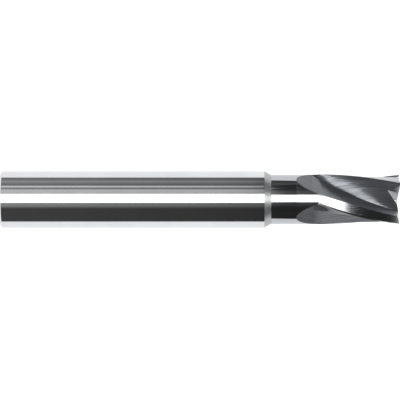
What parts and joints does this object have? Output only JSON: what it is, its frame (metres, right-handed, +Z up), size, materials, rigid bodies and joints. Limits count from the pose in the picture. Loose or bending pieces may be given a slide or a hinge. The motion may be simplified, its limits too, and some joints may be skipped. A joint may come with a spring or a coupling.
{
  "type": "end mill",
  "caption": "Straight-shank right-hand end mill with a reduced neck, helical flutes and gashed end teeth, its cutting head brazed into the shank.",
  "frame": {"origin": "centre of the shank's rear end face, on the tool's axis", "axes": "+X along the tool's axis towards the cutting end, +Z up"},
  "size_m": [0.07, 0.01, 0.01],
  "materials": {
    "ground_steel": "fine ground and polished, mirror-like",
    "silver_solder": "satin, as wiped after brazing",
    "ground_carbide": "ground, with fine grinding lines along the flutes"
  },
  "bodies": {
    "root": {"shank": "ground_steel", "braze_joint": "silver_solder", "cutting_head": "ground_carbide"}
  },
  "joints": []
}
